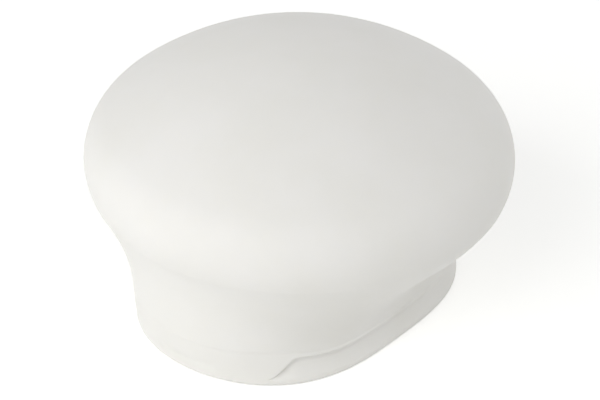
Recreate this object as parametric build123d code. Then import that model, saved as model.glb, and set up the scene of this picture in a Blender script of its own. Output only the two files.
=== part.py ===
from build123d import *
import math
import os

# Soft silicone dome that diffuses the light of a camera flash. Its oblong base carries
# magnets that hold it on a magnetic grip band round the flash head.
# Frame, in mm: the origin is the middle of the flat face that meets the band, +Z runs up
# to the crown, X along the base's long way, and the end with the bare emblem place is -X.

# Dome and neck
DOME_D = 120.0  # widest diameter, round the rim
CROWN_R = 83.0  # radius of the shallow crown
RIM_R = 17.0  # radius of the rolled rim
RIM_Z = 45.5  # height of the widest line
RIM_UNDER = 26.0  # degrees that the rim rolls under before the neck starts
NECK_FULLNESS = 1.27  # how far the rim's slope carries on into the neck
SKIN = 2.4  # wall of the dome and the neck

# Base
BASE_H = 9.0  # height of the base wall, which is also the flange's thickness
FOOT_L = 99.6  # outline at the flat face
FOOT_W = 74.0
WAIST_L = 106.0  # outline at the top of the base wall
WAIST_W = 72.0
FOOT_ROUND = 1.2  # rounding of the lowest edge
END_POWER = 3.0  # superellipse power along X: nearly straight sides and round ends

# Finger grooves along both long sides, with S-shaped ends
GROOVE_DEPTH = 1.5
GROOVE_LOW = 1.9  # heights between which the groove lies
GROOVE_TOP = 8.2
GROOVE_TOP_L = 74.0  # lengths of its upper and lower edges
GROOVE_LOW_L = 86.0

# Shallow relief under the emblem place, and at the far end
RELIEF_W = 18.0
RELIEF_H = 5.2
RELIEF_DEPTH = 0.4

# Magnets, in two side-by-side pairs, each pair under a steel keeper plate
MAGNET_L = 21.5
MAGNET_W = 8.0
MAGNET_H = 4.0
MAGNET_GAP = 0.2  # between the two magnets of a pair
MAGNET_EDGE = 0.35  # bevel of the plated blocks
KEEPER_H = 1.5
POCKET_FIT = 0.1  # clearance round a magnet pair and its keeper
OUTER_WALL = 1.6  # silicone outside the pocket
INNER_WALL = 1.8  # silicone between the pocket and the mouth
COVER_H = 1.2  # cover strip under the magnets, flush with the flat face
COVER_LAP = 1.2  # how far the strip laps over the pocket's edge
COVER_FIT = 0.05  # glue line round the strip
COVER_ROUND = 3.0

# Mouth and gel slot
END_FLANGE = 12.0  # flange left at each end of the mouth
MOUTH_ROUND = 9.0
MOUTH_BEVEL = 0.8
GEL_LAP = 5.0  # how far a colour gel reaches past the mouth on each side
GEL_FIT = 0.3
GEL_SLOT_H = 2.0  # height of the slot above the flange
RAIL_LIP = 3.0  # how far a rail reaches over the gel
RAIL_T = 1.8  # thickness of a rail over the slot
RAIL_L = 52.0
STOP_L = 16.0  # end stops of the gel
STOP_T = 1.5

OUTLINE_POINTS = 32
NECK_SECTIONS = 8

# Worked out from the sizes above
RIM_CENTRE = DOME_D / 2 - RIM_R
CROWN_Z = RIM_Z - math.sqrt((CROWN_R - RIM_R) ** 2 - RIM_CENTRE**2)  # crown's centre
BLEND_ANGLE = math.atan2(RIM_CENTRE, RIM_Z - CROWN_Z)  # where crown meets rim, from +Z
UNDER_ANGLE = math.pi / 2 + math.radians(RIM_UNDER)
UNDER_SLOPE = -math.cos(UNDER_ANGLE) / math.sin(UNDER_ANGLE)  # dr/dz at the neck's top
PAIR_L = 2 * MAGNET_L + MAGNET_GAP
STACK_H = MAGNET_H + KEEPER_H
REACH = 2 * DOME_D  # size of the blocks that only cut or trim


def side_y(x, length, width):
    """Half width of an outline of that length and width, at x from its middle."""
    return width / 2 * math.sqrt(1 - (abs(x) / (length / 2)) ** END_POWER)


POCKET_OUT_Y = side_y(PAIR_L / 2, FOOT_L, FOOT_W) - GROOVE_DEPTH - OUTER_WALL
MAGNET_Y = POCKET_OUT_Y - POCKET_FIT - MAGNET_W / 2
MOUTH_W = 2 * (MAGNET_Y - MAGNET_W / 2 - POCKET_FIT - INNER_WALL)
MOUTH_L = FOOT_L - 2 * END_FLANGE


def wall_size(z):
    """Length and width of the base wall's outline at height z."""
    share = z / BASE_H
    return FOOT_L + share * (WAIST_L - FOOT_L), FOOT_W + share * (WAIST_W - FOOT_W)


def outline_points(length, width):
    """Points round the outline, by the superellipse's own formula."""
    points = []
    for i in range(OUTLINE_POINTS):
        turn = 2 * math.pi * i / OUTLINE_POINTS
        c = math.cos(turn)
        x = length / 2 * math.copysign(abs(c) ** (2 / END_POWER), c)
        points.append((x, width / 2 * math.sin(turn)))
    return points


def outline_face(length, width, z):
    """The outline as a flat face at height z."""
    points = [(x, y, z) for x, y in outline_points(length, width)]
    return Face(Wire(Spline(*points, periodic=True)))


def arc_point(centre_r, centre_z, radius, angle):
    """Point of an arc in the XZ plane, its angle measured from +Z."""
    return centre_r + radius * math.sin(angle), centre_z + radius * math.cos(angle)


def dome(inset):
    """Solid of revolution of the crown and the rim, inset evenly from the outside."""
    crown, rim = CROWN_R - inset, RIM_R - inset
    top = arc_point(0, CROWN_Z, crown, 0)
    crown_middle = arc_point(0, CROWN_Z, crown, BLEND_ANGLE / 2)
    blend = arc_point(0, CROWN_Z, crown, BLEND_ANGLE)
    rim_middle = arc_point(RIM_CENTRE, RIM_Z, rim, (BLEND_ANGLE + UNDER_ANGLE) / 2)
    under = arc_point(RIM_CENTRE, RIM_Z, rim, UNDER_ANGLE)
    with BuildPart() as turned:
        with BuildSketch(Plane.XZ):
            with BuildLine():
                ThreePointArc(top, crown_middle, blend)
                ThreePointArc(blend, rim_middle, under)
                Line(under, (0, under[1]))
                Line((0, under[1]), top)
            make_face()
        revolve(axis=Axis.Z)
    return turned.part


def neck_section(inset, share):
    """Flat face of the neck at a share of its height, from the base wall to the rim."""
    top_r, top_z = arc_point(RIM_CENTRE, RIM_Z, RIM_R - inset, UNDER_ANGLE)
    rise = top_z - BASE_H
    from_base = 2 * share**3 - 3 * share**2 + 1
    from_slope = (share**3 - share**2) * UNDER_SLOPE * rise * NECK_FULLNESS
    points = []
    for x, y in outline_points(WAIST_L - 2 * inset, WAIST_W - 2 * inset):
        base_r = math.hypot(x, y)
        r = from_base * base_r + (1 - from_base) * top_r + from_slope
        points.append((r * x / base_r, r * y / base_r, BASE_H + share * rise))
    return Face(Wire(Spline(*points, periodic=True)))


def neck(inset):
    """Loft from the base wall's outline to the circle where the rim ends."""
    top_r, top_z = arc_point(RIM_CENTRE, RIM_Z, RIM_R - inset, UNDER_ANGLE)
    sections = [neck_section(inset, i / NECK_SECTIONS) for i in range(NECK_SECTIONS)]
    circle = Edge.make_circle(top_r, Plane((0, 0, top_z)))
    return loft([*sections, Face(Wire(circle))])


def block(low, high):
    """Axis-aligned block between two corners."""
    size = [b - a for a, b in zip(low, high)]
    middle = [(a + b) / 2 for a, b in zip(low, high)]
    return Pos(*middle) * Box(*size)


def base_block():
    """The base wall's full solid, its lowest edge rounded."""
    wall = loft(
        [outline_face(FOOT_L, FOOT_W, 0), outline_face(WAIST_L, WAIST_W, BASE_H)],
        ruled=True,
    )
    return fillet(wall.edges().sort_by(Axis.Z)[0], FOOT_ROUND)


def wall_cutter(low, top, low_depth, top_depth):
    """Everything outside the base wall between two heights, and that deep into it."""
    low_l, low_w = wall_size(low)
    top_l, top_w = wall_size(top)
    core = loft(
        [
            outline_face(low_l - 2 * low_depth, low_w - 2 * low_depth, low),
            outline_face(top_l - 2 * top_depth, top_w - 2 * top_depth, top),
        ],
        ruled=True,
    )
    return block((-REACH, -REACH, low), (REACH, REACH, top)) - core


def finger_grooves():
    """Cutter of the two side grooves, deepest under their upper edge."""
    half_top, half_low = GROOVE_TOP_L / 2, GROOVE_LOW_L / 2
    with BuildSketch(Plane.XZ) as zone:
        with BuildLine():
            Spline(
                (-half_low, GROOVE_LOW),
                (-half_top, GROOVE_TOP),
                tangents=[(1, 0), (1, 0)],
            )
            Line((-half_top, GROOVE_TOP), (half_top, GROOVE_TOP))
            Spline(
                (half_top, GROOVE_TOP),
                (half_low, GROOVE_LOW),
                tangents=[(1, 0), (1, 0)],
            )
            Line((half_low, GROOVE_LOW), (-half_low, GROOVE_LOW))
        make_face()
    sides = extrude(zone.sketch, amount=REACH, both=True)
    return wall_cutter(GROOVE_LOW, GROOVE_TOP, 0, GROOVE_DEPTH) & sides


def end_reliefs():
    """Cutter of the shallow reliefs low on the two round ends."""
    strip = block((-REACH, -RELIEF_W / 2, 0), (REACH, RELIEF_W / 2, RELIEF_H))
    return wall_cutter(0, RELIEF_H, RELIEF_DEPTH, RELIEF_DEPTH) & strip


def mouth():
    """Cutter of the opening through the flange, with a bevelled lower edge."""
    opening = Rectangle(MOUTH_L, MOUTH_W)
    opening = fillet(opening.vertices(), MOUTH_ROUND)
    hole = extrude(opening, BASE_H)
    return hole + extrude(offset(opening, MOUTH_BEVEL), MOUTH_BEVEL, taper=45)


def magnet_stack(side, grow, low, top):
    """Block over one magnet pair, grown sideways, between two heights."""
    half_l, half_w = PAIR_L / 2 + grow, MAGNET_W / 2 + grow
    y = side * MAGNET_Y
    return block((-half_l, y - half_w, low), (half_l, y + half_w, top))


def cover_strip(side, fit):
    """Strip that closes one pocket. Its recess is the same shape, without the fit."""
    grow = 2 * (COVER_LAP + POCKET_FIT - fit)
    shape = RectangleRounded(PAIR_L + grow, MAGNET_W + grow, COVER_ROUND - fit)
    return Pos(0, side * MAGNET_Y, 0) * extrude(shape, COVER_H)


def gel_holders():
    """Two rails over the long edges of a colour gel, and a stop at each end of it."""
    edge_y, edge_x = MOUTH_W / 2 + GEL_LAP, MOUTH_L / 2 + GEL_LAP
    slot_top = BASE_H + GEL_SLOT_H
    pieces = []
    for side in (-1, 1):
        near, far = side * (edge_y - RAIL_LIP), side * REACH / 2
        rail = block(
            (-RAIL_L / 2, min(near, far), BASE_H),
            (RAIL_L / 2, max(near, far), slot_top + RAIL_T),
        )
        far = side * (edge_y + GEL_FIT)
        slot = block(
            (-RAIL_L / 2, min(near, far), BASE_H),
            (RAIL_L / 2, max(near, far), slot_top),
        )
        pieces.append(rail - slot)
        x = side * (edge_x + GEL_FIT + STOP_T / 2)
        pieces.append(
            block(
                (x - STOP_T / 2, -STOP_L / 2, BASE_H),
                (x + STOP_T / 2, STOP_L / 2, slot_top),
            )
        )
    return pieces


def diffuser_body():
    """The one silicone moulding: crown, rim, neck, base wall and flange."""
    outside = base_block() + neck(0) + dome(0)
    body = outside - (neck(SKIN) + dome(SKIN))
    for holder in gel_holders():
        body = body + (holder & outside)
    body = body - mouth() - finger_grooves() - end_reliefs()
    for side in (-1, 1):
        body = body - magnet_stack(side, POCKET_FIT, COVER_H, COVER_H + STACK_H)
        body = body - cover_strip(side, 0)
    return body


def magnet(side, end):
    """One plated neodymium block of a pair."""
    x = end * (MAGNET_L + MAGNET_GAP) / 2
    half = (MAGNET_L / 2, MAGNET_W / 2)
    low = (x - half[0], side * MAGNET_Y - half[1], COVER_H)
    high = (x + half[0], side * MAGNET_Y + half[1], COVER_H + MAGNET_H)
    solid = block(low, high)
    return chamfer(solid.edges(), MAGNET_EDGE)


def write(name, shape):
    """Writes one named piece."""
    shape.label = name
    export_step(shape, f"parts/{name}.step")


os.makedirs("parts", exist_ok=True)
write("diffuser_body", diffuser_body())
for side_name, side_sign in (("left", 1), ("right", -1)):
    write(f"keeper_plate_{side_name}", magnet_stack(side_sign, 0, COVER_H + MAGNET_H, COVER_H + STACK_H))
    write(f"magnet_cover_{side_name}", cover_strip(side_sign, COVER_FIT))
    for end_name, end_sign in (("front", -1), ("rear", 1)):
        write(f"magnet_{side_name}_{end_name}", magnet(side_sign, end_sign))
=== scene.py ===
import math

import bmesh
import bpy
from bpy.props import FloatProperty, FloatVectorProperty, IntProperty, PointerProperty, StringProperty
from mathutils import Matrix, Vector


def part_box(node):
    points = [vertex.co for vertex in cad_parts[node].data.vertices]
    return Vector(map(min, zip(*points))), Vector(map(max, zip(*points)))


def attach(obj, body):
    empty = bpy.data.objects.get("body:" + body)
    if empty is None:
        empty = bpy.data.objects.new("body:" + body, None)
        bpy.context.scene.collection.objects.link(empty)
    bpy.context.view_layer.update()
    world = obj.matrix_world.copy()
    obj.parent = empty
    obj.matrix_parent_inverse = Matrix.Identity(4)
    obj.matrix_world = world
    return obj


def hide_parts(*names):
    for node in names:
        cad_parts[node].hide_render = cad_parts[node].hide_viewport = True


bl_info = {
    "name": "Flash Diffuser Dome",
    "version": (1, 0, 0),
    "blender": (4, 5, 0),
    "location": "View3D > Sidebar > Diffuser",
    "description": "Moulds a silicone flash diffuser dome round its packed frame",
    "category": "Object",
}

MM = 0.001
BODY = "root"
SIDES = {"left": 1, "right": -1}
WELD = 0.004 * MM  # points of two bands nearer than this are one point
OUTLINE_POINTS = 2048  # points of the drawn outline that the bands sample
NECK_CROWDING = 1.4  # power over 1 crowds the neck's rows towards the crease
CAP_CROWDING = 0.25  # power under 1 crowds a flat face's rings towards its edge
GROOVE_HOLD = 3.0  # power over 1 keeps a groove deep almost to its ends
MIDDLE_CREASE = 0.4  # depth of the crease over the grooves, as a share of its depth at the ends
FACET_SIDE = 0.6 * MM  # width of the slope beside the end facet
FACET_TOP = 0.5 * MM  # height of the slope over the end facet
PASS = 1 * MM  # how far a cutter passes the face that it cuts through
POCKET_CORNER = 0.1 * MM
SLIM = 0.9  # share of a holder's corner radius that its top rounding takes
LAMP_AIM = 40 * MM  # height that the lamps point at
LAMP_DISTANCE = 1.0
LAMP_WIDTH = 0.9
PAPER_LIFT = 0.35  # glow that brings the paper to white where it is seen directly

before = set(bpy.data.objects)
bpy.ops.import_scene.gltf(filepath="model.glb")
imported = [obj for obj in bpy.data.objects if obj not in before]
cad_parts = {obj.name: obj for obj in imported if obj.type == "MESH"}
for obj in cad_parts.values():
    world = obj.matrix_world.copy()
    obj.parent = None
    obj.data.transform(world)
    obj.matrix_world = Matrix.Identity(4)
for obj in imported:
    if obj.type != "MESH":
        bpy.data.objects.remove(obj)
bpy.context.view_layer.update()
BODY_LOW, BODY_HIGH = (Vector(corner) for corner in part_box("diffuser_body"))
COVER_LOW, COVER_HIGH = (Vector(corner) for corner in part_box("magnet_cover_left"))
KEEPER_LOW, KEEPER_HIGH = (Vector(corner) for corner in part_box("keeper_plate_left"))


# ---------------------------------------------------------------- sizes and colours


def length(label, text, value):
    """A size in metres."""
    return FloatProperty(name=label, description=text, default=value, unit="LENGTH", precision=5)


class DomeSizes(bpy.types.PropertyGroup):
    """Sizes of the silicone moulding."""

    rim_width: length("Rim Width", "Widest diameter, round the rim", BODY_HIGH.y - BODY_LOW.y)
    crown_radius: length("Crown Radius", "Radius of the shallow crown", 83 * MM)
    rim_radius: length("Rim Radius", "Radius of the rolled rim", 17 * MM)
    rim_height: length("Rim Height", "Height of the widest line", 45.5 * MM)
    rim_under: FloatProperty(
        name="Rim Under Angle",
        description="How far the rim rolls under before the neck starts",
        default=math.radians(26),
        subtype="ANGLE",
    )
    neck_fullness: FloatProperty(
        name="Neck Fullness",
        description="How far the rim's slope carries on into the neck",
        default=1.27,
    )
    skin: length("Skin", "Wall of the dome and the neck", 2.4 * MM)
    base_height: length("Base Height", "Height of the base wall, up to the crease", 9 * MM)
    foot_length: length("Foot Length", "Length of the outline at the flat face", 99.6 * MM)
    foot_width: length("Foot Width", "Width of the outline at the flat face", 74 * MM)
    waist_length: length("Waist Length", "Length of the outline at the crease", 106 * MM)
    waist_width: length("Waist Width", "Width of the outline at the crease", 72 * MM)
    foot_round: length("Foot Round", "Rounding of the lowest edge", 1.2 * MM)
    end_power: FloatProperty(
        name="End Power",
        description="Power of the oblong outline, where 2 is an ellipse and more is squarer",
        default=3.0,
    )
    crease_depth: length("Crease Depth", "Depth of the soft crease round the ends", 0.32 * MM)
    crease_reach: length("Crease Reach", "How far the crease softens into the neck", 1.3 * MM)
    end_rise: length("End Rise", "How far the crease rises round the ends", 2.6 * MM)
    rise_start: length("Rise Start", "Distance from the middle where the crease starts to rise", 22 * MM)
    rise_stop: length("Rise Stop", "Distance from the middle where the crease is highest", 46 * MM)
    groove_depth: length("Groove Depth", "Depth of a finger groove under its edge", 1.5 * MM)
    groove_top_length: length("Groove Top Length", "Length of a groove's upper edge", 74 * MM)
    groove_low_length: length("Groove Low Length", "Length of a groove's lower edge", 88.5 * MM)
    relief_width: length("Relief Width", "Width of the tilted facet at each end", 18 * MM)
    relief_height: length("Relief Height", "Top of the tilted facet at each end", 5.2 * MM)
    relief_depth: length("Relief Depth", "Depth of the facet at its top", 0.4 * MM)


class InsideSizes(bpy.types.PropertyGroup):
    """Sizes of the mouth, the gel slot and the magnet pockets."""

    end_flange: length("End Flange", "Flange left at each end of the mouth", 12 * MM)
    inner_wall: length("Inner Wall", "Silicone between a pocket and the mouth", 1.8 * MM)
    mouth_round: length("Mouth Corner", "Radius of the mouth's corners", 9 * MM)
    mouth_bevel: length("Mouth Bevel", "Rounding of the mouth's lower edge", 0.8 * MM)
    pocket_fit: length("Pocket Fit", "Clearance round the magnets and the keeper", 0.1 * MM)
    cover_fit: length("Cover Fit", "Glue line round a cover strip", 0.05 * MM)
    cover_round: length("Cover Corner", "Radius of a cover strip's corners", 3 * MM)
    cover_edge: length("Cover Edge", "Rounding of a cover strip's edge", 0.25 * MM)
    gel_lap: length("Gel Lap", "How far a colour gel reaches past the mouth", 5 * MM)
    gel_fit: length("Gel Fit", "Clearance round a colour gel", 0.3 * MM)
    gel_slot: length("Gel Slot", "Height of the gel slot above the flange", 2 * MM)
    rail_lip: length("Rail Lip", "How far a rail reaches over the gel", 3 * MM)
    rail_thickness: length("Rail Thickness", "Thickness of a rail over the slot", 1.8 * MM)
    rail_length: length("Rail Length", "Length of a gel rail", 52 * MM)
    stop_length: length("Stop Length", "Length of a gel's end stop", 16 * MM)
    stop_thickness: length("Stop Thickness", "Thickness of a gel's end stop", 1.5 * MM)
    holder_round: length("Holder Rounding", "Rounding of the rails and the stops", 0.5 * MM)


class MeshDetail(bpy.types.PropertyGroup):
    """How finely the moulding is divided."""

    columns: IntProperty(name="Columns", description="Points round the outside", default=385)
    hollow_columns: IntProperty(name="Hollow Columns", description="Points round the inside", default=161)
    crown_rows: IntProperty(name="Crown Rows", description="Rows up the crown", default=26)
    rim_rows: IntProperty(name="Rim Rows", description="Rows round the rim", default=30)
    neck_rows: IntProperty(name="Neck Rows", description="Rows up the neck", default=52)
    wall_rows: IntProperty(name="Wall Rows", description="Rows up the base wall", default=76)
    foot_rows: IntProperty(name="Foot Rows", description="Rows round the foot's edge", default=8)
    cap_rows: IntProperty(name="Cap Rows", description="Rings of the flat face", default=6)


class Finishes(bpy.types.PropertyGroup):
    """Colours of the materials, as sRGB hex values."""

    silicone: StringProperty(name="Silicone", description="Milky white of the moulding", default="EAE9E6")
    silicone_cloud: StringProperty(
        name="Silicone Cloud",
        description="Slightly denser white where the pigment gathers",
        default="E8E7E3",
    )
    cover: StringProperty(name="Cover Silicone", description="White of the cover strips", default="E4E3DE")
    cover_cloud: StringProperty(name="Cover Cloud", description="Their denser white", default="E1E0DA")
    nickel: StringProperty(name="Nickel", description="Nickel plate of the magnets", default="C9C5BC")
    nickel_stain: StringProperty(name="Nickel Stain", description="Its duller patches", default="B5B0A6")
    zinc: StringProperty(name="Zinc", description="Zinc plate of the keepers", default="C3C8CC")
    zinc_stain: StringProperty(name="Zinc Stain", description="Its bluish spangle", default="AEB6BE")
    paper: StringProperty(name="Paper", description="White of the floor", default="F4F4F2")


class Studio(bpy.types.PropertyGroup):
    """Camera and the floor's size."""

    azimuth: FloatProperty(
        name="Azimuth",
        description="Camera's turn round the part, from -Y",
        default=math.radians(-52.21),
        subtype="ANGLE",
    )
    elevation: FloatProperty(
        name="Elevation",
        description="Camera's angle above the floor",
        default=math.radians(32.78),
        subtype="ANGLE",
    )
    roll: FloatProperty(
        name="Roll",
        description="Camera's turn about its line of sight",
        default=math.radians(0.67),
        subtype="ANGLE",
    )
    distance: length("Distance", "From the camera to the point that it aims at", 1.1683)
    aim: FloatVectorProperty(
        name="Aim",
        description="Aim's shift to the right and up the picture, and its height",
        default=(0.33 * MM, 1.68 * MM, 28.55 * MM),
        subtype="TRANSLATION",
        unit="LENGTH",
    )
    lens: FloatProperty(name="Lens", description="Focal length on a 36 mm sensor", default=249.97)
    floor_size: length("Floor Size", "Width of the floor", 6.0)


# ---------------------------------------------------------------- node helpers


def add(tree, kind, inputs=None, **settings):
    """Adds a node, sets its properties, then links or fills its inputs."""
    node = tree.nodes.new(kind)
    for key, value in settings.items():
        setattr(node, key, value)
    for key, value in (inputs or {}).items():
        if isinstance(value, bpy.types.Node):
            value = next(socket for socket in value.outputs if socket.enabled)
        if isinstance(value, bpy.types.NodeSocket):
            tree.links.new(value, node.inputs[key])
        else:
            node.inputs[key].default_value = value
    return node


def start_tree(name, inputs):
    """Starts a geometry tree with named inputs. A value of None is a geometry input."""
    tree = bpy.data.node_groups.new(name, "GeometryNodeTree")
    for label, value in inputs.items():
        kind = {type(None): "Geometry", int: "Int", float: "Float"}[type(value)]
        socket = tree.interface.new_socket(label, in_out="INPUT", socket_type=f"NodeSocket{kind}")
        if value is not None:
            socket.default_value = value
    return tree, add(tree, "NodeGroupInput").outputs


def end_tree(tree, geometry):
    """Gives the tree its result."""
    tree.interface.new_socket("Geometry", in_out="OUTPUT", socket_type="NodeSocketGeometry")
    add(tree, "NodeGroupOutput", {"Geometry": geometry})
    return tree


def start_band(name, outlines, sizes):
    """Starts a band's tree, with a flat grid, its share up the band, and a point of each outline."""
    tree, given = start_tree(name, {**dict.fromkeys(outlines), "Columns": 3, "Rows": 3, **sizes})
    size = {"Size X": 1.0, "Size Y": 1.0, "Vertices X": given["Columns"], "Vertices Y": given["Rows"]}
    grid = add(tree, "GeometryNodeMeshGrid", size)
    place = add(tree, "GeometryNodeInputPosition")
    shares = add(tree, "ShaderNodeVectorMath", {0: place, 1: (0.5, 0.5, 0)}, operation="ADD")
    shares = add(tree, "ShaderNodeSeparateXYZ", {0: shares})
    edges = [{"Curves": given[outline], "Factor": shares.outputs["X"]} for outline in outlines]
    points = [add(tree, "GeometryNodeSampleCurve", edge, mode="FACTOR") for edge in edges]
    return tree, given, grid, shares.outputs["Y"], *points


def end_band(tree, grid, flat, height):
    """Moves the grid's points to a place in the plane and a height."""
    up = add(tree, "ShaderNodeCombineXYZ", {"Z": height})
    place = add(tree, "ShaderNodeVectorMath", {0: flat, 1: up}, operation="ADD")
    return end_tree(tree, add(tree, "GeometryNodeSetPosition", {"Geometry": grid, "Position": place}))


def inward(tree, point, depth):
    """The step that moves a sampled point of an outline inwards by a depth."""
    out = {0: point.outputs["Tangent"], 1: (0, 0, 1)}
    out = add(tree, "ShaderNodeVectorMath", out, operation="CROSS_PRODUCT")
    out = add(tree, "ShaderNodeVectorMath", {0: out}, operation="NORMALIZE")
    back = add(tree, "ShaderNodeMath", {0: depth, 1: -1.0}, operation="MULTIPLY")
    return add(tree, "ShaderNodeVectorMath", {0: out, "Scale": back}, operation="SCALE")


def crease(tree, point, given):
    """Height and depth of the crease over a point of the waist. It rises and deepens round the ends."""
    far = add(tree, "ShaderNodeVectorMath", {0: point}, operation="ABSOLUTE")
    far = add(tree, "ShaderNodeSeparateXYZ", {0: far}).outputs["X"]
    ends = {"Value": far, "From Min": given["Rise Start"], "From Max": given["Rise Stop"]}
    rise = {**ends, "To Min": 0.0, "To Max": given["End Rise"]}
    rise = add(tree, "ShaderNodeMapRange", rise, interpolation_type="SMOOTHSTEP")
    height = add(tree, "ShaderNodeMath", {0: rise, 1: given["Base Height"]}, operation="ADD")
    shallow = add(tree, "ShaderNodeMath", {0: given["Crease Depth"], 1: MIDDLE_CREASE}, operation="MULTIPLY")
    depth = {**ends, "To Min": shallow, "To Max": given["Crease Depth"]}
    return height, add(tree, "ShaderNodeMapRange", depth, interpolation_type="SMOOTHSTEP")


# ---------------------------------------------------------------- trees of the moulding


# Inputs that more than one tree names.
CREASE = {"Base Height": 0.0, "End Rise": 0.0, "Rise Start": 0.0, "Rise Stop": 0.0, "Crease Depth": 0.0}
GROOVE = {"Groove Depth": 0.0, "Groove Top Length": 0.0, "Groove Low Length": 0.0}
RELIEF = {"Relief Width": 0.0, "Relief Height": 0.0, "Relief Depth": 0.0}


def outline_tree():
    """Oblong with nearly straight sides and round ends, drawn by its superellipse formula."""
    tree, given = start_tree("Oblong Outline", {"Length": 0.1, "Width": 0.07, "Power": 3.0})
    ring = add(tree, "GeometryNodeCurvePrimitiveCircle", {"Resolution": OUTLINE_POINTS})
    share = add(tree, "GeometryNodeSplineParameter")
    turn = add(tree, "ShaderNodeMath", {0: share, 1: math.tau}, operation="MULTIPLY")
    cosine = add(tree, "ShaderNodeMath", {0: turn}, operation="COSINE")
    sine = add(tree, "ShaderNodeMath", {0: turn}, operation="SINE")
    power = add(tree, "ShaderNodeMath", {0: 2.0, 1: given["Power"]}, operation="DIVIDE")
    reach = add(tree, "ShaderNodeMath", {0: cosine}, operation="ABSOLUTE")
    reach = add(tree, "ShaderNodeMath", {0: reach, 1: power}, operation="POWER")
    side = add(tree, "ShaderNodeMath", {0: cosine}, operation="SIGN")
    reach = add(tree, "ShaderNodeMath", {0: reach, 1: side}, operation="MULTIPLY")
    unit = add(tree, "ShaderNodeCombineXYZ", {"X": reach, "Y": sine})
    size = add(tree, "ShaderNodeCombineXYZ", {"X": given["Length"], "Y": given["Width"]})
    place = add(tree, "ShaderNodeVectorMath", {0: unit, 1: size}, operation="MULTIPLY")
    place = add(tree, "ShaderNodeVectorMath", {0: place, "Scale": 0.5}, operation="SCALE")
    return end_tree(tree, add(tree, "GeometryNodeSetPosition", {"Geometry": ring, "Position": place}))


def arc_tree():
    """Band turned about Z from an arc, between two angles from +Z."""
    sizes = {"Centre Radius": 0.0, "Centre Height": 0.0, "Radius": 0.0, "From": 0.0, "To": 0.0}
    tree, given, grid, up, edge = start_band("Arc Band", ["Outline"], sizes)
    ray = add(tree, "ShaderNodeVectorMath", {0: edge.outputs["Position"]}, operation="NORMALIZE")
    angle = add(tree, "ShaderNodeMapRange", {"Value": up, "To Min": given["From"], "To Max": given["To"]})
    sine = add(tree, "ShaderNodeMath", {0: angle}, operation="SINE")
    cosine = add(tree, "ShaderNodeMath", {0: angle}, operation="COSINE")
    reach = {0: sine, 1: given["Radius"], 2: given["Centre Radius"]}
    reach = add(tree, "ShaderNodeMath", reach, operation="MULTIPLY_ADD")
    height = {0: cosine, 1: given["Radius"], 2: given["Centre Height"]}
    height = add(tree, "ShaderNodeMath", height, operation="MULTIPLY_ADD")
    flat = add(tree, "ShaderNodeVectorMath", {0: ray, "Scale": reach}, operation="SCALE")
    return end_band(tree, grid, flat, height)


def neck_tree():
    """Band that eases from the base's outline into the circle under the rim."""
    sizes = {**CREASE, "Crease Reach": 0.0, "Top Radius": 0.0, "Top Height": 0.0, "Top Slope": 0.0}
    tree, given, grid, up, edge = start_band("Neck Band", ["Outline"], sizes)
    waist = edge.outputs["Position"]
    ray = add(tree, "ShaderNodeVectorMath", {0: waist}, operation="NORMALIZE")
    start = add(tree, "ShaderNodeVectorMath", {0: waist}, operation="LENGTH")
    up = add(tree, "ShaderNodeMath", {0: up, 1: NECK_CROWDING}, operation="POWER")
    reach = {"Value": up, "To Min": start, "To Max": given["Top Radius"]}
    reach = add(tree, "ShaderNodeMapRange", reach, interpolation_type="SMOOTHSTEP")
    low, depth = crease(tree, waist, given)
    rise = add(tree, "ShaderNodeMath", {0: given["Top Height"], 1: low}, operation="SUBTRACT")
    pull = add(tree, "ShaderNodeMath", {0: rise, 1: given["Top Slope"]}, operation="MULTIPLY")
    square = add(tree, "ShaderNodeMath", {0: up, 1: up}, operation="MULTIPLY")
    left = add(tree, "ShaderNodeMath", {0: up, 1: 1.0}, operation="SUBTRACT")
    ease = add(tree, "ShaderNodeMath", {0: square, 1: left}, operation="MULTIPLY")
    reach = add(tree, "ShaderNodeMath", {0: ease, 1: pull, 2: reach}, operation="MULTIPLY_ADD")
    height = {"Value": up, "To Min": low, "To Max": given["Top Height"]}
    height = add(tree, "ShaderNodeMapRange", height)
    above = add(tree, "ShaderNodeMath", {0: height, 1: low}, operation="SUBTRACT")
    dip = {"Value": above, "From Max": given["Crease Reach"], "To Min": depth, "To Max": 0.0}
    dip = add(tree, "ShaderNodeMapRange", dip, interpolation_type="SMOOTHSTEP")
    flat = add(tree, "ShaderNodeVectorMath", {0: ray, "Scale": reach}, operation="SCALE")
    step = inward(tree, edge, dip)
    flat = add(tree, "ShaderNodeVectorMath", {0: flat, 1: step}, operation="ADD")
    return end_band(tree, grid, flat, height)


def cap_tree():
    """Flat face inside an outline, at a height, and inset from it."""
    sizes = {"Inset": 0.0, "Height": 0.0}
    tree, given, grid, up, edge = start_band("Flat Cap", ["Outline"], sizes)
    step = inward(tree, edge, given["Inset"])
    ring = add(tree, "ShaderNodeVectorMath", {0: edge.outputs["Position"], 1: step}, operation="ADD")
    share = add(tree, "ShaderNodeMath", {0: up, 1: CAP_CROWDING}, operation="POWER")
    flat = add(tree, "ShaderNodeVectorMath", {0: ring, "Scale": share}, operation="SCALE")
    return end_band(tree, grid, flat, given["Height"])


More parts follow.
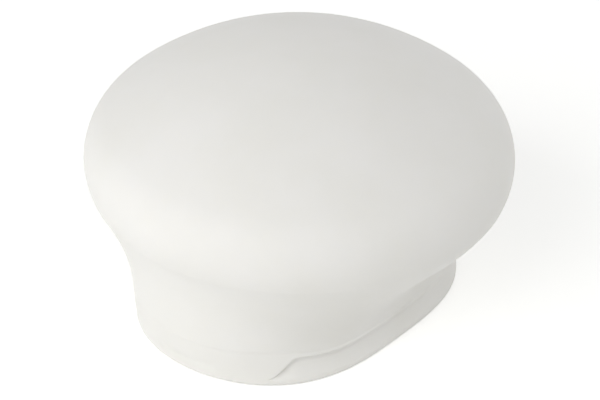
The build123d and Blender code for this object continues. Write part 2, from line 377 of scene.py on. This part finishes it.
def foot_tree():
    """Rounded lowest edge, between the flat face and the base wall."""
    sizes = {**CREASE, "Foot Round": 0.0}
    tree, given, grid, up, foot, waist = start_band("Foot Band", ["Foot", "Waist"], sizes)
    angle = add(tree, "ShaderNodeMath", {0: up, 1: math.pi / 2}, operation="MULTIPLY")
    sine = add(tree, "ShaderNodeMath", {0: angle}, operation="SINE")
    cosine = add(tree, "ShaderNodeMath", {0: angle}, operation="COSINE")
    depth = {"Value": sine, "To Min": given["Foot Round"], "To Max": 0.0}
    depth = add(tree, "ShaderNodeMapRange", depth)
    height = {"Value": cosine, "To Min": given["Foot Round"], "To Max": 0.0}
    height = add(tree, "ShaderNodeMapRange", height)
    top, _ = crease(tree, waist.outputs["Position"], given)
    share = add(tree, "ShaderNodeMath", {0: height, 1: top}, operation="DIVIDE")
    edge = {0: share, 4: foot.outputs["Position"], 5: waist.outputs["Position"]}
    edge = add(tree, "ShaderNodeMix", edge, data_type="VECTOR")
    step = inward(tree, foot, depth)
    flat = add(tree, "ShaderNodeVectorMath", {0: edge.outputs[1], 1: step}, operation="ADD")
    return end_band(tree, grid, flat, height)


# Profile of the base wall, from the top of its rounded foot to its crease. Each row of points
# has its share of the rows, its height at the grooves and past their ends, and the groove's and
# the crease's depths there. Heights are drawn in mm, between the lowest and the highest here,
# and are stretched to the real ones. Depths are shares of the full depth.
WALL_PROFILE = (
    # share, height, height past the groove, groove, crease
    (0.00, 1.20, 1.20, 0.00, 0.00),
    (0.06, 1.90, 1.80, 0.02, 0.00),
    (0.12, 2.60, 1.92, 0.14, 0.00),
    (0.22, 4.00, 2.02, 0.47, 0.00),
    (0.32, 5.60, 2.10, 0.81, 0.00),
    (0.40, 6.50, 2.16, 0.97, 0.00),
    (0.46, 7.05, 2.24, 0.98, 0.00),
    (0.52, 7.42, 2.34, 0.80, 0.00),
    (0.57, 7.72, 2.46, 0.46, 0.00),
    (0.62, 7.98, 2.62, 0.15, 0.00),
    (0.67, 8.20, 3.10, 0.02, 0.00),
    (0.74, 8.38, 5.00, 0.00, 0.06),
    (0.82, 8.56, 6.80, 0.00, 0.24),
    (0.91, 8.78, 8.10, 0.00, 0.62),
    (1.00, 9.00, 9.00, 0.00, 1.00),
)


def wall_profile(tree, share, column, low=0.0, top=1.0):
    """One column of the base wall's profile, as shares from low to top, smooth through its rows."""
    node = add(tree, "ShaderNodeFloatCurve", {"Value": share})
    curve = node.mapping.curves[0]
    rows = [(row[0], (row[column] - low) / (top - low)) for row in WALL_PROFILE]
    for row in rows[1:-1]:
        curve.points.new(*row)
    curve.points[0].location = rows[0]
    curve.points[-1].location = rows[-1]
    for point in curve.points:
        point.handle_type = "AUTO_CLAMPED"
    node.mapping.update()
    return node


def wall_tree():
    """Base wall, with a finger groove along each long side, a facet at each end and a crease on top."""
    sizes = {**CREASE, "Foot Round": 0.0, **GROOVE, **RELIEF}
    tree, given, grid, up, foot, waist = start_band("Wall Band", ["Foot", "Waist"], sizes)
    spot = add(tree, "ShaderNodeVectorMath", {0: waist.outputs["Position"]}, operation="ABSOLUTE")
    spot = add(tree, "ShaderNodeSeparateXYZ", {0: spot})

    # The rows bend down along the groove's S-shaped ends, so that its edge stays crisp.
    half_top = add(tree, "ShaderNodeMath", {0: given["Groove Top Length"], 1: 0.5}, operation="MULTIPLY")
    half_low = add(tree, "ShaderNodeMath", {0: given["Groove Low Length"], 1: 0.5}, operation="MULTIPLY")
    ends = {"Value": spot.outputs["X"], "From Min": half_top, "From Max": half_low}
    low, high = WALL_PROFILE[0][1], WALL_PROFILE[-1][1]
    at_groove = wall_profile(tree, up, 1, low, high)
    past_groove = wall_profile(tree, up, 2, low, high)
    share = {**ends, "To Min": at_groove, "To Max": past_groove}
    share = add(tree, "ShaderNodeMapRange", share, interpolation_type="SMOOTHSTEP")
    top, crease_depth = crease(tree, waist.outputs["Position"], given)
    height = {"Value": share, "To Min": given["Foot Round"], "To Max": top}
    height = add(tree, "ShaderNodeMapRange", height)
    share = add(tree, "ShaderNodeMath", {0: height, 1: top}, operation="DIVIDE")

    late = add(tree, "ShaderNodeMapRange", {**ends, "To Min": 0.0, "To Max": 1.0})
    late = add(tree, "ShaderNodeMath", {0: late, 1: GROOVE_HOLD}, operation="POWER")
    fade = {"Value": late, "To Min": given["Groove Depth"], "To Max": 0.0}
    fade = add(tree, "ShaderNodeMapRange", fade, interpolation_type="SMOOTHSTEP")
    depth = {0: wall_profile(tree, up, 3), 1: fade}
    depth = add(tree, "ShaderNodeMath", depth, operation="MULTIPLY")
    depth = {0: wall_profile(tree, up, 4), 1: crease_depth, 2: depth}
    depth = add(tree, "ShaderNodeMath", depth, operation="MULTIPLY_ADD")

    # The facet is deepest at its top, so it faces a little upwards.
    half = add(tree, "ShaderNodeMath", {0: given["Relief Width"], 1: 0.5}, operation="MULTIPLY")
    past = add(tree, "ShaderNodeMath", {0: half, 1: FACET_SIDE}, operation="ADD")
    over = add(tree, "ShaderNodeMath", {0: given["Relief Height"], 1: FACET_TOP}, operation="ADD")
    fall = {"To Min": 1.0, "To Max": 0.0}
    beside = {"Value": spot.outputs["Y"], "From Min": half, "From Max": past, **fall}
    beside = add(tree, "ShaderNodeMapRange", beside)
    above = {"Value": height, "From Min": given["Relief Height"], "From Max": over, **fall}
    above = add(tree, "ShaderNodeMapRange", above)
    tilt = {"Value": height, "From Min": given["Foot Round"], "From Max": given["Relief Height"]}
    tilt = add(tree, "ShaderNodeMapRange", {**tilt, "To Max": given["Relief Depth"]})
    facet = add(tree, "ShaderNodeMath", {0: beside, 1: above}, operation="MULTIPLY")
    facet = {0: facet, 1: tilt, 2: depth}
    depth = add(tree, "ShaderNodeMath", facet, operation="MULTIPLY_ADD")

    edge = {0: share, 4: foot.outputs["Position"], 5: waist.outputs["Position"]}
    edge = add(tree, "ShaderNodeMix", edge, data_type="VECTOR")
    step = inward(tree, waist, depth)
    flat = add(tree, "ShaderNodeVectorMath", {0: edge.outputs[1], 1: step}, operation="ADD")
    return end_band(tree, grid, flat, height)


def bands():
    """The small trees that the moulding's outside and its hollow are put together from."""
    return {
        "outline": outline_tree(),
        "arc": arc_tree(),
        "neck": neck_tree(),
        "cap": cap_tree(),
        "foot": foot_tree(),
        "wall": wall_tree(),
    }


# Sizes that reach the trees only through other inputs.
INDIRECT = ("rim_width", "rim_under", "neck_fullness", "skin", "hollow_columns")


def shape_inputs(sizes, detail):
    """Named inputs of the moulding's trees: the panel's sizes, and what follows from them."""
    inputs = {"Inset": 0.0}
    for group in (sizes, detail):
        for key in group.__annotations__:
            if key not in INDIRECT:
                inputs[key.replace("_", " ").title()] = getattr(group, key)
    rim_centre = sizes.rim_width / 2 - sizes.rim_radius
    crown_drop = math.sqrt((sizes.crown_radius - sizes.rim_radius) ** 2 - rim_centre**2)
    under = math.pi / 2 + sizes.rim_under
    inputs["Rim Centre Radius"] = rim_centre
    inputs["Crown Centre Height"] = sizes.rim_height - crown_drop
    inputs["Blend Angle"] = math.atan2(rim_centre, crown_drop)
    inputs["Under Angle"] = under
    inputs["Neck Slope"] = -math.cos(under) / math.sin(under) * sizes.neck_fullness
    return inputs


def moulding_tree(name, groups, inputs, material, hollow):
    """Closed solid of the moulding's outside, or of its hollow, which ends at the flange."""
    tree, given = start_tree(name, inputs)
    less = add(tree, "ShaderNodeMath", {0: given["Inset"], 1: -2.0}, operation="MULTIPLY")
    outlines = []
    for part in ("Foot", "Waist"):
        long = add(tree, "ShaderNodeMath", {0: given[f"{part} Length"], 1: less}, operation="ADD")
        wide = add(tree, "ShaderNodeMath", {0: given[f"{part} Width"], 1: less}, operation="ADD")
        sizes = {"Length": long, "Width": wide, "Power": given["End Power"]}
        outlines.append(add(tree, "GeometryNodeGroup", sizes, node_tree=groups["outline"]))
    foot, waist = outlines

    rim = add(tree, "ShaderNodeMath", {0: given["Rim Radius"], 1: given["Inset"]}, operation="SUBTRACT")
    crown = add(tree, "ShaderNodeMath", {0: given["Crown Radius"], 1: given["Inset"]}, operation="SUBTRACT")
    sine = add(tree, "ShaderNodeMath", {0: given["Under Angle"]}, operation="SINE")
    cosine = add(tree, "ShaderNodeMath", {0: given["Under Angle"]}, operation="COSINE")
    top_radius = {0: sine, 1: rim, 2: given["Rim Centre Radius"]}
    top_radius = add(tree, "ShaderNodeMath", top_radius, operation="MULTIPLY_ADD")
    top_height = {0: cosine, 1: rim, 2: given["Rim Height"]}
    top_height = add(tree, "ShaderNodeMath", top_height, operation="MULTIPLY_ADD")

    crease_sizes = {label: given[label] for label in CREASE}
    round_waist = {"Outline": waist, "Columns": given["Columns"]}
    crown_sizes = {
        "Rows": given["Crown Rows"],
        "Centre Height": given["Crown Centre Height"],
        "Radius": crown,
        "From": given["Blend Angle"],
        "To": 0.0,
    }
    rim_sizes = {
        "Rows": given["Rim Rows"],
        "Centre Radius": given["Rim Centre Radius"],
        "Centre Height": given["Rim Height"],
        "Radius": rim,
        "From": given["Under Angle"],
        "To": given["Blend Angle"],
    }
    neck_sizes = {
        "Rows": given["Neck Rows"],
        **crease_sizes,
        "Top Radius": top_radius,
        "Top Height": top_height,
        "Top Slope": given["Neck Slope"],
        "Crease Reach": given["Crease Reach"],
    }
    made = [
        add(tree, "GeometryNodeGroup", {**round_waist, **crown_sizes}, node_tree=groups["arc"]),
        add(tree, "GeometryNodeGroup", {**round_waist, **rim_sizes}, node_tree=groups["arc"]),
        add(tree, "GeometryNodeGroup", {**round_waist, **neck_sizes}, node_tree=groups["neck"]),
    ]
    if hollow:
        cap_sizes = {"Rows": given["Cap Rows"], "Height": given["Base Height"]}
        made.append(add(tree, "GeometryNodeGroup", {**round_waist, **cap_sizes}, node_tree=groups["cap"]))
    else:
        both = {"Foot": foot, "Waist": waist, "Columns": given["Columns"], **crease_sizes}
        foot_sizes = {"Rows": given["Foot Rows"], "Foot Round": given["Foot Round"]}
        made.append(add(tree, "GeometryNodeGroup", {**both, **foot_sizes}, node_tree=groups["foot"]))
        wall_sizes = {"Rows": given["Wall Rows"], "Foot Round": given["Foot Round"]}
        wall_sizes |= {label: given[label] for label in (*GROOVE, *RELIEF)}
        made.append(add(tree, "GeometryNodeGroup", {**both, **wall_sizes}, node_tree=groups["wall"]))
        cap_sizes = {"Outline": foot, "Columns": given["Columns"], "Rows": given["Cap Rows"]}
        cap_sizes["Inset"] = given["Foot Round"]
        made.append(add(tree, "GeometryNodeGroup", cap_sizes, node_tree=groups["cap"]))

    joined = add(tree, "GeometryNodeJoinGeometry")
    for band in made:
        tree.links.new(band.outputs[0], joined.inputs[0])
    whole = add(tree, "GeometryNodeMergeByDistance", {"Geometry": joined, "Distance": WELD})
    whole = add(tree, "GeometryNodeSetShadeSmooth", {"Geometry": whole})
    whole = add(tree, "GeometryNodeRealizeInstances", {"Geometry": whole})
    return end_tree(tree, add(tree, "GeometryNodeSetMaterial", {"Geometry": whole, "Material": material}))


# ---------------------------------------------------------------- mesh helpers


def new_object(name, mesh):
    """Object that shows a mesh in the scene."""
    piece = bpy.data.objects.new(name, mesh)
    bpy.context.scene.collection.objects.link(piece)
    return piece


def plain_mesh(piece):
    """Turns a piece with modifiers into a plain mesh, and removes the modifiers."""
    graph = bpy.context.evaluated_depsgraph_get()
    mesh = bpy.data.meshes.new_from_object(piece.evaluated_get(graph), depsgraph=graph)
    piece.modifiers.clear()
    piece.data = mesh
    mesh.name = piece.name
    return piece


def grow(name, tree, values):
    """Piece that a geometry tree makes with those values for its named inputs."""
    piece = new_object(name, bpy.data.meshes.new(name))
    modifier = piece.modifiers.new("shape", "NODES")
    modifier.node_group = tree
    for item in tree.interface.items_tree:
        if item.in_out == "INPUT" and item.name in values:
            modifier[item.identifier] = values[item.name]
    return plain_mesh(piece)


def rounded_rectangle(size_x, size_y, corner, steps=12):
    """Points round a rectangle with round corners, anticlockwise from +X."""
    points = []
    for quarter, (x, y) in enumerate(((1, 1), (-1, 1), (-1, -1), (1, -1))):
        middle_x = x * (size_x / 2 - corner)
        middle_y = y * (size_y / 2 - corner)
        for i in range(steps + 1):
            turn = math.pi / 2 * (quarter + i / steps)
            points.append((middle_x + corner * math.cos(turn), middle_y + corner * math.sin(turn)))
    return points


def rounded_block(name, centre, size_x, size_y, corner, levels):
    """Closed block lofted through levels of (height, growth past the plain outline)."""
    shape = bmesh.new()
    rings = []
    for height, growth in levels:
        outline = rounded_rectangle(size_x + 2 * growth, size_y + 2 * growth, corner + growth)
        rings.append([shape.verts.new((centre[0] + x, centre[1] + y, height)) for x, y in outline])
    for low, top in zip(rings, rings[1:]):
        for i in range(len(low)):
            shape.faces.new((low[i - 1], low[i], top[i], top[i - 1]))
    shape.faces.new(reversed(rings[0]))
    shape.faces.new(rings[-1])
    bmesh.ops.recalc_face_normals(shape, faces=shape.faces)
    mesh = bpy.data.meshes.new(name)
    shape.to_mesh(mesh)
    shape.free()
    return new_object(name, mesh)


def edge_levels(low, top, radius, flare, steps=5):
    """Levels of a block whose lowest edge is rounded, outwards for a flared cutter."""
    sign = 1 if flare else -1
    levels = []
    for i in range(steps + 1):
        turn = math.pi / 2 * i / steps
        levels.append((low + radius * (1 - math.cos(turn)), sign * radius * (1 - math.sin(turn))))
    return levels + [(top, 0)]


def holder_levels(low, top, radius, steps=4):
    """Levels of a block whose highest edge is rounded."""
    levels = [(low, 0)]
    for i in range(steps + 1):
        turn = math.pi / 2 * i / steps
        levels.append((top - radius * (1 - math.sin(turn)), -SLIM * radius * (1 - math.cos(turn))))
    return levels


def combine(piece, tools, operation):
    """Joins tools to a piece, or cuts them from it, and removes them."""
    for tool in tools:
        modifier = piece.modifiers.new(tool.name, "BOOLEAN")
        modifier.operation = operation
        modifier.solver = "MANIFOLD"
        modifier.object = tool
    plain_mesh(piece)
    for tool in tools:
        bpy.data.objects.remove(tool)


def finish_mesh(piece, angle=35):
    """Shades a piece smooth, with its real edges sharp. It has to be a closed solid."""
    shape = bmesh.new()
    shape.from_mesh(piece.data)
    bmesh.ops.remove_doubles(shape, verts=shape.verts, dist=WELD)
    bmesh.ops.dissolve_degenerate(shape, edges=shape.edges, dist=WELD)
    open_edges = sum(not edge.is_manifold for edge in shape.edges)
    shape.to_mesh(piece.data)
    shape.free()
    if open_edges:
        raise RuntimeError(f"{piece.name} has {open_edges} open edges")
    piece.data.polygons.foreach_set("use_smooth", [True] * len(piece.data.polygons))
    piece.data.set_sharp_from_angle(angle=math.radians(angle))
    piece.data.update()


# ---------------------------------------------------------------- materials


def linear(hex_colour):
    """Linear RGBA of an sRGB hex colour."""
    values = []
    for i in (0, 2, 4):
        v = int(hex_colour[i : i + 2], 16) / 255
        values.append(v / 12.92 if v <= 0.04045 else ((v + 0.055) / 1.055) ** 2.4)
    return (*values, 1.0)


def start_material(name, sockets):
    """Material with those values on its shader, and object coordinates for its patterns."""
    material = bpy.data.materials.new(name)
    material.use_nodes = True
    tree = material.node_tree
    shader = tree.nodes["Principled BSDF"]
    for label, value in sockets.items():
        shader.inputs[label].default_value = value
    place = add(tree, "ShaderNodeTexCoord").outputs["Object"]
    return material, tree, shader, place


def silicone(name, plain, cloud):
    """Soft white silicone rubber, press-moulded in a bead-blasted steel mould. It has a milky
    depth that softens shadows, a matt skin with a very fine grain, and faint clouds of pigment."""
    rubber = {
        "IOR": 1.41,
        "Subsurface Weight": 0.35,
        "Subsurface Scale": 1.8 * MM,
        "Subsurface Radius": (1.0, 0.96, 0.88),
        "Diffuse Roughness": 0.3,
        "Sheen Weight": 0.06,
        "Sheen Roughness": 0.4,
    }
    material, tree, shader, place = start_material(name, rubber)
    lumps = add(tree, "ShaderNodeTexNoise", {"Vector": place, "Scale": 1 / (22 * MM), "Detail": 3.0})
    lumps = add(tree, "ShaderNodeMapRange", {"Value": lumps, "From Min": 0.35, "From Max": 0.65})
    colours = {0: lumps, 6: linear(plain), 7: linear(cloud)}
    colours = add(tree, "ShaderNodeMix", colours, data_type="RGBA")
    tree.links.new(colours.outputs[2], shader.inputs["Base Color"])

    # The blasted grain is near 0.05 mm. It is drawn at 0.35 mm, so that it shows at all.
    grain = add(tree, "ShaderNodeTexNoise", {"Vector": place, "Scale": 1 / (0.35 * MM), "Detail": 2.0})
    gloss = add(tree, "ShaderNodeMapRange", {"Value": grain, "To Min": 0.5, "To Max": 0.66})
    tree.links.new(gloss.outputs[0], shader.inputs["Roughness"])
    waves = add(tree, "ShaderNodeTexNoise", {"Vector": place, "Scale": 1 / (9 * MM)})
    slow = add(tree, "ShaderNodeBump", {"Strength": 0.25, "Distance": 0.03 * MM, "Height": waves})
    fine = {"Strength": 0.3, "Distance": 0.02 * MM, "Height": grain, "Normal": slow}
    fine = add(tree, "ShaderNodeBump", fine)
    tree.links.new(fine.outputs[0], shader.inputs["Normal"])
    return material


def plated_metal(name, plain, stain, roughness, streak):
    """Bright electroplate on pressed metal: even, slightly stained, with fine rolling streaks."""
    material, tree, shader, place = start_material(name, {"Metallic": 1.0})
    patches = add(tree, "ShaderNodeTexNoise", {"Vector": place, "Scale": 1 / (6 * MM), "Detail": 4.0})
    colours = {0: patches, 6: linear(plain), 7: linear(stain)}
    colours = add(tree, "ShaderNodeMix", colours, data_type="RGBA")
    tree.links.new(colours.outputs[2], shader.inputs["Base Color"])
    long = add(tree, "ShaderNodeMapping", {"Vector": place, "Scale": (0.05, 1.0, 1.0)})
    lines = add(tree, "ShaderNodeTexNoise", {"Vector": long, "Scale": 1 / streak, "Detail": 3.0})
    gloss = {"Value": lines, "To Min": roughness - 0.06, "To Max": roughness + 0.08}
    gloss = add(tree, "ShaderNodeMapRange", gloss)
    tree.links.new(gloss.outputs[0], shader.inputs["Roughness"])
    bump = add(tree, "ShaderNodeBump", {"Strength": 0.2, "Distance": 0.01 * MM, "Height": lines})
    tree.links.new(bump.outputs[0], shader.inputs["Normal"])
    return material


def give_material(nodes, material):
    """Gives CAD nodes a finish."""
    for name in nodes:
        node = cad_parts[name]
        for slot in node.material_slots:
            slot.material = material


def seen_ray(tree):
    """1 for rays that the camera, a reflection or a clear surface sees, else 0."""
    path = add(tree, "ShaderNodeLightPath").outputs
    seen = {0: path["Is Camera Ray"], 1: path["Is Glossy Ray"]}
    seen = add(tree, "ShaderNodeMath", seen, operation="MAXIMUM")
    seen = {0: seen, 1: path["Is Transmission Ray"]}
    return add(tree, "ShaderNodeMath", seen, operation="MAXIMUM")


# ---------------------------------------------------------------- operators


class BuildBody(bpy.types.Operator):
    """Mould the dome, its neck and its base as one silicone piece."""

    bl_idname = "diffuser.build_body"
    bl_label = "Diffuser Body"

    def execute(self, context):
        scene = context.scene
        sizes, inside, detail = scene.dome_sizes, scene.inside_sizes, scene.mesh_detail
        material = silicone("press-moulded silicone", scene.finishes.silicone, scene.finishes.silicone_cloud)
        groups = bands()
        inputs = shape_inputs(sizes, detail)
        outside_tree = moulding_tree("Dome Outside", groups, inputs, material, False)
        hollow_tree = moulding_tree("Dome Hollow", groups, inputs, material, True)
        hollow_values = {
            **inputs,
            "Inset": sizes.skin,
            "End Rise": 0.0,
            "Crease Depth": 0.0,
            "Columns": detail.hollow_columns,
            "Cap Rows": 2,
        }
        body = grow("silicone_dome", outside_tree, inputs)
        hollow = grow("hollow", hollow_tree, hollow_values)
        combine(body, [hollow, *self.cutters(inside, sizes)], "DIFFERENCE")
        holders = self.holders(inside, sizes)
        for holder in holders:
            # A holder's outer end lies in the middle of the skin.
            middle = grow("middle", outside_tree, {**inputs, "Inset": sizes.skin / 2})
            combine(holder, [middle], "INTERSECT")
        combine(body, holders, "UNION")
        finish_mesh(body)
        body.data.materials.clear()
        body.data.materials.append(material)
        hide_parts("diffuser_body")
        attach(body, BODY)
        return {"FINISHED"}

    def mouth_size(self, inside, sizes):
        """Length and width of the mouth, which clears the magnet pockets."""
        width = 2 * (KEEPER_LOW.y - inside.pocket_fit - inside.inner_wall)
        return sizes.foot_length - 2 * inside.end_flange, width

    def cutters(self, inside, sizes):
        """Solids of the mouth, the pockets and the covers' recesses."""
        mouth_x, mouth_y = self.mouth_size(inside, sizes)
        levels = edge_levels(0, sizes.base_height + PASS, inside.mouth_bevel, True)
        levels.insert(0, (-PASS, inside.mouth_bevel))
        cutters = [rounded_block("mouth", (0, 0), mouth_x, mouth_y, inside.mouth_round, levels)]
        magnets_y = (KEEPER_LOW.y + KEEPER_HIGH.y) / 2
        keeper = KEEPER_HIGH - KEEPER_LOW
        cover = COVER_HIGH - COVER_LOW
        for name, side in SIDES.items():
            centre = (0, side * magnets_y)
            size_x, size_y = (size + 2 * inside.pocket_fit for size in keeper.xy)
            levels = [(COVER_HIGH.z / 2, 0), (KEEPER_HIGH.z, 0)]
            cutters.append(rounded_block(f"pocket_{name}", centre, size_x, size_y, POCKET_CORNER, levels))
            size_x, size_y = (size + 2 * inside.cover_fit for size in cover.xy)
            levels = edge_levels(0, COVER_HIGH.z, inside.cover_edge, True)
            levels.insert(0, (-PASS, inside.cover_edge))
            corner = inside.cover_round
            cutters.append(rounded_block(f"recess_{name}", centre, size_x, size_y, corner, levels))
        return cutters

    def holders(self, inside, sizes):
        """Two rails over a gel's long edges, and a stop at each end of it."""
        mouth_x, mouth_y = self.mouth_size(inside, sizes)
        edge_x, edge_y = mouth_x / 2 + inside.gel_lap, mouth_y / 2 + inside.gel_lap
        root = sizes.base_height - inside.holder_round
        slot_top = sizes.base_height + inside.gel_slot
        corner = inside.holder_round
        wall = sizes.waist_width / 2
        lip, post = edge_y - inside.rail_lip, edge_y + inside.gel_fit
        rail_levels = holder_levels(slot_top, slot_top + inside.rail_thickness, corner)
        post_levels = [(root, 0), (slot_top + corner, 0)]
        stop_levels = holder_levels(root, slot_top, corner)
        stop_x = edge_x + inside.gel_fit + inside.stop_thickness / 2
        stop_size = (inside.stop_thickness, inside.stop_length)
        holders = []
        for name, side in SIDES.items():
            centre, size = (0, side * (lip + wall) / 2), (inside.rail_length, wall - lip)
            holders.append(rounded_block(f"rail_{name}", centre, *size, corner, rail_levels))
            centre, size = (0, side * (post + wall) / 2), (inside.rail_length, wall - post)
            holders.append(rounded_block(f"post_{name}", centre, *size, corner, post_levels))
            centre = (side * stop_x, 0)
            holders.append(rounded_block(f"stop_{name}", centre, *stop_size, corner, stop_levels))
        return holders


class BuildCovers(bpy.types.Operator):
    """Make the two silicone strips that close the magnet pockets."""

    bl_idname = "diffuser.build_covers"
    bl_label = "Magnet Covers"

    def execute(self, context):
        inside, finishes = context.scene.inside_sizes, context.scene.finishes
        material = silicone("die-cut silicone strip", finishes.cover, finishes.cover_cloud)
        size = COVER_HIGH - COVER_LOW
        corner = inside.cover_round - inside.cover_fit
        levels = edge_levels(COVER_LOW.z, COVER_HIGH.z, inside.cover_edge, False)
        for name, side in SIDES.items():
            centre = (0, side * (COVER_LOW.y + COVER_HIGH.y) / 2)
            strip = rounded_block(f"cover_strip_{name}", centre, size.x, size.y, corner, levels)
            finish_mesh(strip)
            strip.data.materials.append(material)
            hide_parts(f"magnet_cover_{name}")
            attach(strip, BODY)
        return {"FINISHED"}


class FinishMagnets(bpy.types.Operator):
    """Nickel-plate the four magnet blocks."""

    bl_idname = "diffuser.finish_magnets"
    bl_label = "Magnets"

    def execute(self, context):
        finishes = context.scene.finishes
        nickel = plated_metal("nickel plate", finishes.nickel, finishes.nickel_stain, 0.24, 0.4 * MM)
        give_material([f"magnet_{side}_{end}" for side in SIDES for end in ("front", "rear")], nickel)
        return {"FINISHED"}


class FinishKeepers(bpy.types.Operator):
    """Zinc-plate the two keeper plates."""

    bl_idname = "diffuser.finish_keepers"
    bl_label = "Keeper Plates"

    def execute(self, context):
        finishes = context.scene.finishes
        zinc = plated_metal("zinc plate", finishes.zinc, finishes.zinc_stain, 0.34, 0.7 * MM)
        give_material([f"keeper_plate_{side}" for side in SIDES], zinc)
        return {"FINISHED"}


def direction(azimuth, elevation):
    """Unit vector towards an azimuth, from -Y, and an elevation."""
    flat = math.cos(elevation)
    return Vector((math.sin(azimuth) * flat, -math.cos(azimuth) * flat, math.sin(elevation)))


# Each lamp has its name, azimuth from -Y, elevation and power.
LAMPS = (
    ("key", -97, 30, 5.2),
    ("front_fill", -52, 40, 1.55),
    ("rim", -142, 12, 1.5),
    ("side_fill", 38, 28, 1.95),
    ("back_fill", 90, 20, 1.35),
)
WORLD_LIGHT = 0.385


class BuildStage(bpy.types.Operator):
    """Set up the pale floor, the soft light and the camera."""

    bl_idname = "diffuser.build_stage"
    bl_label = "Stage"

    def execute(self, context):
        studio = context.scene.studio
        self.floor(studio, context.scene.finishes.paper)
        self.world(context.scene)
        self.lamps()
        self.camera(context.scene, studio)
        context.scene.view_settings.view_transform = "Standard"
        return {"FINISHED"}

    def floor(self, studio, colour):
        """Plain white floor. Seen directly it is lifted to white, and it keeps a faint shadow."""
        half = studio.floor_size / 2
        mesh = bpy.data.meshes.new("floor")
        corners = [(-half, -half, 0), (half, -half, 0), (half, half, 0), (-half, half, 0)]
        mesh.from_pydata(corners, [], [(0, 1, 2, 3)])
        floor = new_object("floor", mesh)
        paper = {"Base Color": linear(colour), "Roughness": 0.9, "Specular IOR Level": 0.1}
        paper["Emission Color"] = (1, 1, 1, 1)
        material, tree, shader, _ = start_material("white sweep paper", paper)
        lift = add(tree, "ShaderNodeMath", {0: seen_ray(tree), 1: PAPER_LIFT}, operation="MULTIPLY")
        tree.links.new(lift.outputs[0], shader.inputs["Emission Strength"])
        mesh.materials.append(material)

    def world(self, scene):
        """Even white surroundings, seen as pure white and dimmer as light."""
        world = bpy.data.worlds.new("white studio")
        world.use_nodes = True
        tree = world.node_tree
        strength = {"Value": seen_ray(tree), "To Min": WORLD_LIGHT, "To Max": 1.0}
        strength = add(tree, "ShaderNodeMapRange", strength)
        tree.links.new(strength.outputs[0], tree.nodes["Background"].inputs["Strength"])
        tree.nodes["Background"].inputs["Color"].default_value = (1, 1, 1, 1)
        scene.world = world

    def lamps(self):
        """Large soft lamps, each at an azimuth and elevation round the part."""
        for name, azimuth, elevation, power in LAMPS:
            lamp = bpy.data.lights.new(name, "AREA")
            lamp.size = LAMP_WIDTH
            lamp.energy = power
            thing = bpy.data.objects.new(name, lamp)
            bpy.context.scene.collection.objects.link(thing)
            back = direction(math.radians(azimuth), math.radians(elevation))
            thing.location = Vector((0, 0, LAMP_AIM)) + back * LAMP_DISTANCE
            thing.rotation_mode = "QUATERNION"
            thing.rotation_quaternion = back.to_track_quat("Z", "Y")

    def camera(self, scene, studio):
        """Long lens that looks down on the crown, one round end and one long side."""
        back = direction(studio.azimuth, studio.elevation)
        right = Vector((math.cos(studio.azimuth), math.sin(studio.azimuth), 0))
        up = back.cross(right)
        turn = Matrix.Rotation(studio.roll, 3, back)
        right, up = turn @ right, turn @ up
        data = bpy.data.cameras.new("camera")
        data.lens = studio.lens
        data.clip_end = 20
        camera = bpy.data.objects.new("camera", data)
        scene.collection.objects.link(camera)
        aside, over, height = studio.aim
        place = Vector((0, 0, height)) + back * studio.distance + right * aside + up * over
        camera.matrix_world = Matrix.Translation(place) @ Matrix((right, up, back)).transposed().to_4x4()
        scene.camera = camera


OPERATORS = (BuildBody, BuildCovers, FinishMagnets, FinishKeepers, BuildStage)


class DiffuserPanel(bpy.types.Panel):
    """Lists the diffuser's pieces, its sizes and its stage."""

    bl_idname = "VIEW3D_PT_diffuser"
    bl_label = "Flash Diffuser"
    bl_space_type = "VIEW_3D"
    bl_region_type = "UI"
    bl_category = "Diffuser"

    def draw(self, context):
        layout = self.layout
        for operator in OPERATORS:
            layout.operator(operator.bl_idname)
        for name in SETTINGS:
            box = layout.box()
            group = getattr(context.scene, name)
            for key in group.__annotations__:
                box.prop(group, key)


SETTINGS = {
    "dome_sizes": DomeSizes,
    "inside_sizes": InsideSizes,
    "mesh_detail": MeshDetail,
    "finishes": Finishes,
    "studio": Studio,
}
CLASSES = (*SETTINGS.values(), *OPERATORS, DiffuserPanel)


def register():
    """Registers the classes and hangs the settings on the scene."""
    for item in CLASSES:
        bpy.utils.register_class(item)
    for name, group in SETTINGS.items():
        setattr(bpy.types.Scene, name, PointerProperty(type=group))


def unregister():
    """Takes the settings and the classes away."""
    for name in SETTINGS:
        delattr(bpy.types.Scene, name)
    for item in reversed(CLASSES):
        bpy.utils.unregister_class(item)


def main():
    """Builds every piece and the stage."""
    register()
    bpy.ops.diffuser.build_body()
    bpy.ops.diffuser.build_covers()
    bpy.ops.diffuser.finish_magnets()
    bpy.ops.diffuser.finish_keepers()
    bpy.ops.diffuser.build_stage()


if __name__ == "__main__":
    main()
